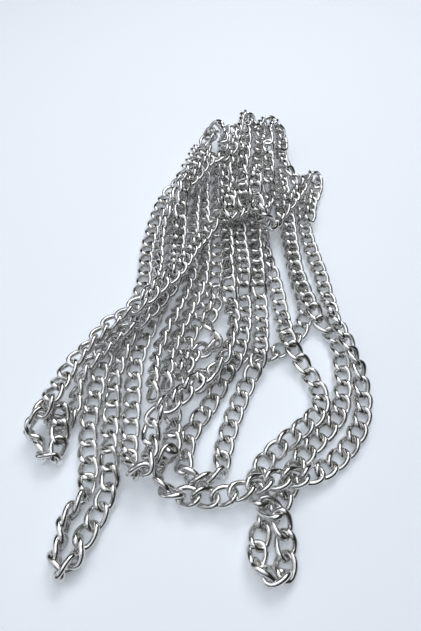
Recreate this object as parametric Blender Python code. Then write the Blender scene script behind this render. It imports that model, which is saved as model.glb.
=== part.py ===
"""Heap of bag chain: one long curb chain dropped in folds on a flat floor.

Each named object is one run of the chain between two folds. A run is a band as wide and thick as
the twisted links that it stands for, with a waist wherever two links lock together. The runs are
laid one after another in the order of CHAINS, and each comes to rest on the ones before it.
X is to the right and Y to the back of the heap as it is seen from the front, and Z is up.
"""
from dataclasses import dataclass
import math

import bmesh
import bpy
import numpy as np
from mathutils import Matrix, Vector

MM = 0.001

# The chain, in millimetres
WIRE = 2.8
LINK_WIDTH = 10.6
LINK_LENGTH = 14.6
PITCH = LINK_LENGTH - 2.0 * WIRE
THICKNESS = 5.6

# Half sizes of the two sections of a run: (widest point, flat of the top, height of the flat)
JOINT_SECTION = (4.0, 2.9, THICKNESS / 2.0)
LINK_SECTION = (LINK_WIDTH / 2.0, 4.4, 1.3)
CUT_GAP = 0.4

# How the chain comes to rest
REST_GAP = 0.4
STEP = 1.0
CELL = 0.5
BEND_RADIUS = 15.0
STEEPEST = 0.9
MOST_LEAN = 60.0
LEAN_ARM = 5.5
LEAN_SIDES = (1.5, 5.5)
FLOOR_LEAN = 4.0
FLOOR_LIFT = 0.25
OWN_CLEARANCE = 16
END_REACH = 3
FOLD_SLACK = 0.2
FOLD_TURN = 25.0
FOLD_BLEND = 4.0
SIDE_REACH = 6.0
SPAN_REACH = 60.0
PRESS_STEP = 0.35
CURVE_PIECES = 12

# The routes were read from a point this high above the floor and over the plan's origin
EYE_HEIGHT = 228.0
HEAP_MIDDLE = (-3.7, 199.0)
BED_CORNER = (-125.0, -15.0)
BED_SIZE = (240.0, 420.0)

# Turned on edge, for the folds
EDGE = 90.0

# The routes: plan points in millimetres, with the turn on edge in degrees where there is one
CHAINS = (
    (
        ("under_run_left", (
            (17, 193), (16, 207), (15, 230), (13, 260), (11, 290), (10, 318), (11, 343), (13, 360))),
        ("back_hump_middle", (
            (15, 371, EDGE), (19, 377, EDGE), (23, 371, EDGE))),
        ("under_run_right", (
            (23, 358), (22, 340), (21, 318), (22, 290), (25, 260), (28, 230), (30, 207), (30, 193))),
    ),
    (
        ("right_upper_run", (
            (39, 342), (44, 328), (47, 310), (50, 290), (52, 270), (54, 250), (55, 230), (55.5, 212),
            (56.5, 195), (58.5, 180), (59, 168))),
        ("cross_run", (
            (56, 158), (50, 149), (43, 142), (35, 138), (26, 137), (17, 136), (9, 132), (1, 126),
            (-6, 119), (-13, 113))),
    ),
    (
        ("right_inner_run", (
            (57, 318), (57.5, 300), (58, 280), (57.5, 260), (57, 240), (57, 215), (58, 200),
            (60.5, 187), (63, 176), (66, 166), (70, 158), (74, 150), (76, 141), (75.7, 132),
            (74.5, 123), (73, 114), (70.5, 104), (66, 97), (59.5, 90.5), (53, 84), (46, 77.5),
            (40.5, 70))),
        ("right_tail", (
            (38, 62), (33.5, 55), (28, 50), (23.5, 45), (21.5, 38), (20, 30, 60), (24, 24.5, EDGE),
            (29, 21, 60), (33, 27), (34.3, 35), (34.5, 43))),
        ("centre_right_run", (
            (33.5, 50), (27, 54), (21.5, 59.5), (22.5, 68), (27.5, 75.5), (33.5, 81.5), (40.5, 87),
            (47.5, 92.5), (54, 98), (59.5, 104), (60.8, 112), (57.5, 121), (54, 129.5), (50.5, 138),
            (47, 147), (45, 156), (44, 166), (43.5, 176), (42.5, 188), (41, 202), (39, 216),
            (37.5, 230), (37.5, 255), (38, 280))),
    ),
    (
        ("back_hump_right", (
            (35, 350), (36.5, 366), (37, 379, EDGE), (34, 387, EDGE), (29, 386, EDGE),
            (26.5, 374, EDGE))),
        ("centre_run_right", (
            (26, 357), (26, 335), (28, 303), (31, 275), (32, 255), (32, 235), (31.5, 215),
            (31.8, 195), (31.5, 178), (31, 163), (30, 150), (29, 140), (27, 132), (22.5, 123),
            (18, 114), (14, 104), (10.5, 95), (8, 86.5))),
        ("front_fold_centre", (
            (6, 78.5), (6.5, 71.5, EDGE), (0.5, 67.5, EDGE), (-6, 65.5, EDGE), (-12.5, 69, 60))),
        ("centre_run_middle", (
            (-13.5, 77), (-12, 86.5), (-8, 95), (-3, 102), (1, 109), (5, 117), (9, 125), (14, 134),
            (17, 143), (19.5, 154), (21, 168), (21, 182), (22, 197), (22.5, 212), (21, 230),
            (21, 250), (21, 270))),
    ),
    (
        ("centre_left_run", (
            (6, 330), (5, 305), (4, 282), (4, 262), (4.5, 245), (4.5, 225), (4, 205), (2.5, 190),
            (-1, 178), (-6, 166), (-11, 155), (-15, 143), (-18, 130), (-19.5, 118), (-20.3, 106),
            (-20.5, 95), (-20, 86), (-20.5, 78, EDGE))),
        ("front_band", (
            (-25.5, 75, EDGE), (-26, 67, 60), (-21, 61, EDGE), (-13, 58.5), (-4, 57), (5, 58),
            (14, 61), (23, 65), (33, 67), (42, 68), (51, 69), (60, 73.5), (68, 80), (75, 88))),
        ("right_outer_run", (
            (80, 97), (83, 106.5), (84.3, 116), (85, 125), (84.5, 134), (82.5, 143), (80, 152),
            (77.5, 161), (75.2, 170), (74, 180), (73.3, 195), (71.5, 208), (69.5, 222), (68, 240),
            (68, 258), (68, 275), (68, 290), (66.5, 303), (62.5, 317))),
        ("back_hump_outer", (
            (58.5, 330), (58, 346), (58, 362, EDGE), (57.5, 377, EDGE), (53, 388, EDGE),
            (47.5, 384, EDGE), (45, 368), (44, 350), (42, 328), (41, 308))),
    ),
    (
        ("left_fan_sixth", (
            (-1, 322), (-3, 302), (-5, 282), (-4.5, 262), (-4, 240), (-4, 215), (-5, 198),
            (-8.5, 184), (-13, 170), (-18, 157), (-22, 145), (-24.5, 133), (-25, 122), (-24, 113))),
    ),
    (
        ("fan_fold", (
            (5, 192), (4.5, 180), (1.5, 170), (-3, 161), (1, 154, EDGE), (5, 148, EDGE),
            (0.5, 142, EDGE), (-6.5, 142), (-12, 137), (-15, 128), (-15, 119))),
    ),
    (
        ("left_fan_fifth", (
            (-9, 305), (-11, 282), (-12, 260), (-12, 238), (-12, 215), (-13, 198), (-16.5, 184),
            (-21, 170), (-26, 157), (-30, 145), (-32, 133), (-32.3, 122), (-31.7, 112),
            (-31, 105))),
    ),
    (
        ("left_fan_fourth", (
            (-13, 318), (-17, 300), (-19, 282), (-20, 262), (-20, 238), (-20, 215), (-20, 198),
            (-22, 190))),
    ),
    (
        ("left_fan_third", (
            (-19, 297), (-25, 279), (-27, 260), (-28, 238), (-28, 215), (-28, 198), (-29.5, 184),
            (-33, 170), (-37, 157), (-41, 145), (-43, 133), (-43.2, 118), (-42.4, 107), (-42, 96),
            (-42, 86))),
        ("front_fold_left", (
            (-41, 77, 60), (-39, 71.5, EDGE), (-35, 68.5, EDGE), (-31, 72.5, EDGE), (-30.5, 81))),
        ("centre_run_left", (
            (-31, 90), (-31, 99), (-26, 106), (-18, 109), (-11, 114), (-4, 121), (2, 129),
            (8, 137), (11, 146), (14, 155), (14.5, 164), (12.5, 174), (11.5, 184), (12, 197),
            (12.3, 212), (12, 230), (11.5, 255), (11, 280), (11, 300), (12, 322), (13, 345))),
    ),
    (
        ("back_hump_left", (
            (11, 345), (10, 358, EDGE), (6, 366, EDGE), (0, 361, EDGE), (-5, 350))),
        ("left_edge_run", (
            (-9, 339), (-14, 327), (-19.5, 314), (-26, 301), (-31.5, 288), (-35.5, 275),
            (-38.5, 262), (-41, 248), (-43, 232), (-44, 215), (-43.5, 198), (-45, 184),
            (-49, 170), (-54, 157), (-59, 145), (-62, 133), (-63.3, 121), (-63.7, 110), (-64, 99),
            (-63.7, 88))),
        ("left_tail_under", (
            (-61.5, 77), (-60, 68), (-60, 60, EDGE), (-64, 54, EDGE), (-68.5, 47, EDGE),
            (-68, 38, EDGE), (-70, 31, EDGE))),
        ("left_tail", (
            (-65.5, 26, EDGE), (-61, 32, EDGE), (-60.5, 40), (-56.5, 46.5), (-52, 53.5), (-49, 61.5))),
        ("left_inner_run", (
            (-50, 71), (-52, 81), (-53, 92), (-53, 103), (-53.5, 114), (-54, 124), (-52.5, 134),
            (-49.5, 145), (-45, 157), (-40, 170), (-37, 184), (-35.5, 198), (-35.5, 212),
            (-35.5, 230), (-34, 248), (-31, 265), (-26.5, 282), (-21, 298), (-14, 314), (-7, 329),
            (0.5, 343), (9, 355))),
    ),
    (
        ("back_top_run", (
            (33, 352), (24, 345), (16, 336), (9, 327), (1, 319), (-7, 312), (-13, 301), (-17, 287),
            (-20, 272), (-22, 258))),
        ("left_top_run", (
            (-22, 243), (-23, 228), (-23, 214), (-23, 202), (-25, 190), (-31, 178), (-39, 168),
            (-48, 159), (-57, 150), (-65, 140), (-71, 130), (-73.7, 119), (-74, 109),
            (-73.8, 101))),
        ("left_hook_under", (
            (-76.3, 94.2), (-82, 94.5), (-87.5, 99, EDGE), (-87, 107, EDGE))),
        ("left_hook", (
            (-81, 105), (-79.5, 96), (-78, 87), (-77, 79, EDGE), (-81, 75.5, EDGE), (-86, 79, EDGE), (-88.5, 86, EDGE),
            (-94, 89.5, 60), (-96, 95.5, EDGE), (-92.5, 101, 60))),
        ("left_diagonal_run", (
            (-89.5, 107), (-86.5, 114), (-84, 122), (-80, 131), (-75, 141), (-68, 151), (-60, 161),
            (-51, 170), (-42, 178), (-33, 187), (-26, 197), (-20, 209), (-14, 222), (-8, 233),
            (-1, 244), (5, 256), (10, 267))),
    ),
    (
        ("top_fold_left", (
            (21, 345), (20, 330), (18.5, 303), (16, 288), (14, 274), (13.5, 263), (17, 255, EDGE),
            (24, 261, EDGE), (26, 274))),
        ("top_run_middle", (
            (25, 292), (26, 312), (28, 332), (30, 352), (32, 368, EDGE), (37, 377, EDGE),
            (42, 369, EDGE), (42, 352))),
        ("top_fold_middle", (
            (40, 334), (37, 315), (35, 297), (34, 282), (34, 270), (37, 262, EDGE), (43, 267, EDGE),
            (45, 281))),
        ("top_run_right", (
            (47, 298), (49, 314), (50, 332), (50, 350), (51, 365, EDGE), (56, 373, EDGE),
            (61, 364, EDGE), (61, 348), (59, 334))),
    ),
    (
        ("right_edge_end", (
            (72, 251), (73.5, 261), (76, 271), (79.5, 281), (83, 291))),
        ("hook_run_right", (
            (86, 300, EDGE), (82, 305, EDGE), (76, 299.5, EDGE), (70, 290), (64, 279), (57, 268),
            (51, 257), (46, 248), (41, 242, EDGE), (36, 245, EDGE), (33, 255), (31, 266))),
    ),
)


@dataclass(frozen=True)
class Envelope:
    """The outline that a run's links sweep, as the straight sides that bound it."""

    half_width: float = LINK_WIDTH / 2.0
    half_thickness: float = THICKNESS / 2.0
    corner_angle: float = math.radians(51.0)
    corner_reach: float = 4.1

    def sides(self):
        """Give the direction and the distance of each side, from the middle of the section."""
        corner = self.corner_angle
        quarter = ((0.0, self.half_width), (corner, self.corner_reach),
                   (math.pi / 2.0, self.half_thickness), (math.pi - corner, self.corner_reach))
        half = quarter + tuple((angle + math.pi, reach) for angle, reach in quarter)
        return np.array(half)

    def under_and_over(self, roll, offsets):
        """Give the heights of the underside and the top at each offset, for each roll.

        Args:
            roll: turn of each section about the run, in radians.
            offsets: distances sideways from the middle of the section.

        Returns:
            Two arrays, one row for each roll; where the section ends, over is below under.
        """
        angle, reach = self.sides().T
        across = np.cos(angle + roll[:, None])[:, None, :]
        upward = np.sin(angle + roll[:, None])[:, None, :]
        steep = np.where(np.abs(upward) < 1e-6, 1e-6, upward)
        height = (reach - across * offsets[None, :, None]) / steep
        over = np.where(steep > 0.0, height, np.inf).min(axis=2)
        under = np.where(steep < 0.0, height, -np.inf).max(axis=2)
        return under, over


ENVELOPE = Envelope()


class Bed:
    """The floor and all that lies on it so far, as heights on a square grid."""

    def __init__(self):
        """Start with a bare floor."""
        self.height = np.zeros([int(size / CELL) for size in BED_SIZE])

    def cell(self, x, y):
        """Give the grid places of plan points."""
        column = (x - BED_CORNER[0]) / CELL
        row = (y - BED_CORNER[1]) / CELL
        return column.astype(int), row.astype(int)

    def across(self, path, offsets):
        """Give the heights at each offset to the side of each point of a path."""
        side = sideways(path)
        x = path[:, :1] + side[:, :1] * offsets
        y = path[:, 1:2] + side[:, 1:2] * offsets
        return self.height[self.cell(x, y)]

    def add(self, path, roll):
        """Raise the grid to the top of a run that has come to rest."""
        fine = np.arange(0.0, len(path) - 1.0, PRESS_STEP / STEP)
        place = np.arange(len(path))
        dense = np.stack([np.interp(fine, place, path[:, axis]) for axis in range(3)], axis=1)
        offsets = np.arange(-SIDE_REACH, SIDE_REACH, PRESS_STEP)
        under, over = ENVELOPE.under_and_over(np.interp(fine, place, roll), offsets)
        side = sideways(dense)
        x = dense[:, :1] + side[:, :1] * offsets
        y = dense[:, 1:2] + side[:, 1:2] * offsets
        top = np.where(over > under, dense[:, 2:] + over, 0.0)
        np.maximum.at(self.height, self.cell(x, y), top)


def sideways(path):
    """Give the level unit vector to the right of travel at each point of a path."""
    along = np.gradient(path[:, :2], axis=0)
    along /= np.maximum(np.linalg.norm(along, axis=1), 1e-9)[:, None]
    return np.stack([along[:, 1], -along[:, 0]], axis=1)


def smooth(values, spread):
    """Even out values along a path with a bell of the given spread in millimetres."""
    reach = int(3.0 * spread / STEP)
    bell = np.exp(-0.5 * (np.arange(-reach, reach + 1) * STEP / spread) ** 2)
    padded = np.pad(values, reach, mode="edge")
    return np.convolve(padded, bell / bell.sum(), mode="valid")


def span(demand):
    """Give the lowest line that clears the demand and bends no tighter than the chain can."""
    reach = int(SPAN_REACH / STEP)
    away = np.abs(np.arange(-reach, reach + 1) * STEP)
    straight_from = STEEPEST * BEND_RADIUS
    curved = away ** 2 / (2.0 * BEND_RADIUS)
    straight = straight_from ** 2 / (2.0 * BEND_RADIUS) + STEEPEST * (away - straight_from)
    drop = np.where(away < straight_from, curved, straight)
    padded = np.pad(demand, reach, constant_values=-1e3)
    windows = np.lib.stride_tricks.sliding_window_view(padded, 2 * reach + 1)
    return (windows - drop).max(axis=1)


def curve_through(points):
    """Run a smooth plan curve through the points of a route.

    Args:
        points: array of x, y and turn on edge.

    Returns:
        The curve's points at even steps, and the place of each route point along it.
    """
    ends = np.vstack([2.0 * points[0] - points[1], points, 2.0 * points[-1] - points[-2]])
    dense = []
    for index in range(1, len(ends) - 2):
        four = ends[index - 1:index + 3]
        knots = np.concatenate([[0.0], np.cumsum(
            np.sqrt(np.linalg.norm(np.diff(four[:, :2], axis=0), axis=1)))])
        when = np.linspace(knots[1], knots[2], CURVE_PIECES, endpoint=False)[:, None]
        level = [four[k] + (four[k + 1] - four[k]) * (when - knots[k]) / (knots[k + 1] - knots[k])
                 for k in range(3)]
        level = [level[k] + (level[k + 1] - level[k]) * (when - knots[k]) / (knots[k + 2] - knots[k])
                 for k in range(2)]
        dense.append(level[0] + (level[1] - level[0]) * (when - knots[1]) / (knots[2] - knots[1]))
    dense = np.vstack(dense + [points[-1:]])
    length = np.concatenate([[0.0], np.cumsum(np.linalg.norm(np.diff(dense[:, :2], axis=0), axis=1))])
    even = np.linspace(0.0, length[-1], int(round(length[-1] / STEP)) + 1)
    curve = np.stack([np.interp(even, length, dense[:, axis]) for axis in range(3)], axis=1)
    return curve, length[::CURVE_PIECES] / STEP


def lean_on(bed, path):
    """Give how far a run leans over, in degrees, on what lies under its two sides."""
    offsets = np.arange(*LEAN_SIDES, CELL)
    left = bed.across(path, -offsets).max(axis=1)
    right = bed.across(path, offsets).max(axis=1)
    lean = np.degrees(np.arctan2(right - left, LEAN_ARM))
    return smooth(np.clip(lean, -MOST_LEAN, MOST_LEAN), 5.0)


def folded(curve):
    """Give how far each point of a curve is in a fold, from 0 to 1."""
    return smooth((np.abs(curve[:, 2]) > FOLD_TURN).astype(float), FOLD_BLEND)


def demand_of(bed, path, roll):
    """Give the least height of a run's middle at each point, clear of what lies there."""
    offsets = np.arange(-SIDE_REACH, SIDE_REACH + CELL, CELL)
    under, over = ENVELOPE.under_and_over(roll, offsets)
    inside = over > under - 0.3
    lies = bed.across(path, offsets)
    clear = np.where(inside & (lies > 0.0), lies + REST_GAP - under, -np.inf).max(axis=1)
    floor = np.where(inside, -under, -np.inf).max(axis=1)
    return np.maximum(clear, floor)


def ease(demand):
    """Give the heights at which a run rests, without kinks."""
    taut = span(demand)
    eased = smooth(taut, 2.5)
    eased += span(np.maximum(demand - eased, 0.0))
    return np.maximum(eased, demand)


def settle(bed, curve, breaks):
    """Lay one chain on the bed, run by run.

    Args:
        bed: the floor and the chains under this one.
        curve: plan points and turns on edge at even steps.
        breaks: place along the curve where each run starts, and the end of the last one.

    Returns:
        The path of the chain in space, and its roll in radians.
    """
    before = bed.height
    on_edge = folded(curve)
    heights = np.zeros(len(curve))
    for _ in range(3):
        toward_eye = 1.0 - heights[:, None] / EYE_HEIGHT
        path = np.column_stack([curve[:, :2] * toward_eye, heights])
        bed.height = before.copy()
        roll = np.radians(lean_on(bed, path) * (1.0 - on_edge) + curve[:, 2])
        demand = np.zeros(len(path))
        for start, end in zip(breaks, breaks[1:]):
            demand[start:end] = demand_of(bed, path[start:end], roll[start:end])
            path[:end, 2] = ease(demand[:end])
            clear_of_next = max(end - OWN_CLEARANCE, 2)
            bed.add(path[:clear_of_next], roll[:clear_of_next])
        heights = path[:, 2].copy()
    bed.add(path, roll)
    return path, roll


def pace(path, on_edge):
    """Give the places along a path where one link locks into the next.

    Args:
        path: the settled path of a chain.
        on_edge: how far each point is in a fold, where the chain is slack and its links crowd.

    Returns:
        The places, a pitch apart or less.
    """
    index = END_REACH
    places = [float(index)]
    here = path[index]
    while True:
        pitch = PITCH * (1.0 - FOLD_SLACK * on_edge[index])
        ahead = index + 1
        while ahead < len(path) and np.linalg.norm(path[ahead] - here) < pitch:
            ahead += 1
        if ahead >= len(path) - END_REACH:
            return np.array(places)
        near, far = (np.linalg.norm(path[at] - here) for at in (ahead - 1, ahead))
        share = (pitch - near) / max(far - near, 1e-9)
        here = path[ahead - 1] + (path[ahead] - path[ahead - 1]) * share
        places.append(ahead - 1 + share)
        index = ahead - 1


def at_places(values, places):
    """Read values along a path at places between its points."""
    index = np.arange(len(values))
    if values.ndim == 1:
        return np.interp(places, index, values)
    return np.stack([np.interp(places, index, column) for column in values.T], axis=1)


def ring(centre, along, roll, section, flat_on_floor):
    """Give the six corners of a section, in metres.

    Args:
        centre: middle of the section, in plan millimetres.
        along: direction of the run there.
        roll: turn about the run, in radians.
        section: half sizes of the section.
        flat_on_floor: whether the underside is pressed to the floor.

    Returns:
        The corners in order round the section.
    """
    along = along.normalized()
    side = Vector((along.y, -along.x, 0.0)).normalized()
    up = side.cross(along)
    turn = Matrix.Rotation(-roll, 3, along)
    side, up = turn @ side, turn @ up
    widest, flat, height = section
    corners = ((-widest, 0.0), (-flat, -height), (flat, -height), (widest, 0.0), (flat, height),
               (-flat, height))
    points = [centre + side * across + up * above for across, above in corners]
    for index, point in enumerate(points):
        point.z = 0.0 if flat_on_floor and index in (1, 2) else max(point.z, 0.0)
    origin = Vector((*HEAP_MIDDLE, 0.0))
    return [(point - origin) * MM for point in points]


def run_sections(joints, rolls, first, last):
    """Give the rings of one run.

    Args:
        joints: the places where the links of the whole chain lock together.
        rolls: the turn of the chain about itself at each joint, in radians.
        first: the joint where the run starts.
        last: the joint where it ends.

    Returns:
        The rings in order, one at each joint and one at the middle of each link.
    """
    rings = []
    for index in range(first, last + 1):
        before = joints[max(index - 1, 0)]
        after = joints[min(index + 1, len(joints) - 1)]
        along = (after - before).normalized()
        shift = 0.0
        if index == first:
            shift = -WIRE if first == 0 else CUT_GAP / 2.0
        if index == last:
            shift = WIRE if last == len(joints) - 1 else -CUT_GAP / 2.0
        centre = joints[index] + along * shift
        rings.append(ring(centre, along, rolls[index], JOINT_SECTION, rests(centre, rolls[index])))
        if index < last:
            centre = (joints[index] + joints[index + 1]) / 2.0
            roll = (rolls[index] + rolls[index + 1]) / 2.0
            along = joints[index + 1] - joints[index]
            rings.append(ring(centre, along, roll, LINK_SECTION, rests(centre, roll)))
    return rings


def rests(centre, roll):
    """Tell whether a section lies flat on the floor."""
    return centre.z < THICKNESS / 2.0 + FLOOR_LIFT and abs(math.degrees(roll)) < FLOOR_LEAN


def build_run(name, rings, finish, collection):
    """Loft one closed solid through its rings."""
    mesh = bpy.data.meshes.new(name)
    shape = bmesh.new()
    loops = [[shape.verts.new(point) for point in points] for points in rings]
    for near, far in zip(loops, loops[1:]):
        for index in range(len(near)):
            following = (index + 1) % len(near)
            shape.faces.new((near[index], near[following], far[following], far[index]))
    shape.faces.new(loops[0][::-1])
    shape.faces.new(loops[-1])
    bmesh.ops.triangulate(shape, faces=shape.faces[:])
    bmesh.ops.recalc_face_normals(shape, faces=shape.faces[:])
    shape.to_mesh(mesh)
    shape.free()
    mesh.materials.append(finish)
    collection.objects.link(bpy.data.objects.new(name, mesh))


def nickel():
    """Make the finish: bright nickel plating on steel wire."""
    finish = bpy.data.materials.new("nickel_plated_steel")
    finish.use_nodes = True
    shader = finish.node_tree.nodes["Principled BSDF"]
    shader.inputs["Base Color"].default_value = (0.55, 0.54, 0.51, 1.0)
    shader.inputs["Metallic"].default_value = 1.0
    shader.inputs["Roughness"].default_value = 0.22
    finish.diffuse_color = (0.55, 0.54, 0.51, 1.0)
    return finish


def clear_scene():
    """Remove what a new scene starts with."""
    for item in list(bpy.data.objects):
        bpy.data.objects.remove(item, do_unlink=True)


def lay_heap():
    """Lay every chain in turn.

    Returns:
        For each run: its name, all joints and rolls of its chain, its first and last joint.
    """
    bed = Bed()
    laid = []
    for chain in CHAINS:
        points = np.array([(point + (0.0,))[:3] for _, route in chain for point in route], float)
        starts = np.cumsum([0] + [len(route) for _, route in chain])
        curve, marks = curve_through(points)
        breaks = [int(marks[min(start, len(marks) - 1)]) for start in starts]
        breaks[-1] = len(curve)
        path, roll = settle(bed, curve, breaks)
        places = pace(path, folded(curve))
        joints = [Vector(point) for point in at_places(path, places)]
        rolls = at_places(roll, places)
        cuts = [int(np.argmin(np.abs(places - mark))) for mark in breaks]
        cuts[0], cuts[-1] = 0, len(places) - 1
        for (name, _), first, last in zip(chain, cuts, cuts[1:]):
            laid.append((name, joints, rolls, first, last))
    return laid


def main():
    """Build the heap."""
    clear_scene()
    heap = bpy.data.collections.new("bag_chain_heap")
    bpy.context.scene.collection.children.link(heap)
    finish = nickel()
    links = 0
    for name, joints, rolls, first, last in lay_heap():
        build_run(name, run_sections(joints, rolls, first, last), finish, heap)
        links += last - first
    print(f"{len(heap.objects)} runs of {links} links in all")


main()
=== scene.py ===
"""Heap of bag chain: every link as twisted nickel-plated wire, lying on a pale floor.

The heap is one long curb chain dropped in folds. The routes of its runs, and the way in which each
run comes to rest on the ones under it, are those of the solids, so every row of links lies where
its solid band lies. Lengths are in millimetres until a mesh is placed, and in metres from there on.
"""

from dataclasses import dataclass
from enum import Enum
import logging
import math

import bmesh
import bpy
import numpy as np
from mathutils import Euler, Matrix, Vector

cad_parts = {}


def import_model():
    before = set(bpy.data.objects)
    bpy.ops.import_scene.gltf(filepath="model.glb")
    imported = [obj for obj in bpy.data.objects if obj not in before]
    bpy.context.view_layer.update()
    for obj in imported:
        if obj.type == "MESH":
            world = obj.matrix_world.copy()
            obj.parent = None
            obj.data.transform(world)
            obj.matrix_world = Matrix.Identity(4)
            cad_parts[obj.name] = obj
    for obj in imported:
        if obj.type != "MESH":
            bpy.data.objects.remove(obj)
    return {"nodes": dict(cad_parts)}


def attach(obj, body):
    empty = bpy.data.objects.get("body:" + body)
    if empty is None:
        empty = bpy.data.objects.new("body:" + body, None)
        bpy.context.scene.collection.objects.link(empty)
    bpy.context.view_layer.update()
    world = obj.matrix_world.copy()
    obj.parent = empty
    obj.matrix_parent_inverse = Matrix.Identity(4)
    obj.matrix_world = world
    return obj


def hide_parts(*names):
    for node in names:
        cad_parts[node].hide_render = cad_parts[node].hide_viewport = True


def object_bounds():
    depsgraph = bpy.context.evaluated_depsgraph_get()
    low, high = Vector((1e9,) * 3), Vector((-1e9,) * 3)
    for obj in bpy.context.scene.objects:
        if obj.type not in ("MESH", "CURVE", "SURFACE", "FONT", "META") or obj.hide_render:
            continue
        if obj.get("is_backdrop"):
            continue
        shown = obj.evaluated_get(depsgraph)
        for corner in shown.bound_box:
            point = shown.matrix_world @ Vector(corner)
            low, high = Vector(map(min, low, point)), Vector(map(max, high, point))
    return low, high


LOG = logging.getLogger("bag_chain_heap")
MM = 0.001
TURN = 2.0 * math.pi
TINY = 1e-9
NEARLY_LEVEL = 1e-6
BODY = "root"


class Lay(Enum):
    """How far a link is turned on edge where the chain folds, in degrees."""

    FLAT = 0.0
    LEANING = 60.0
    EDGE = 90.0


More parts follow.
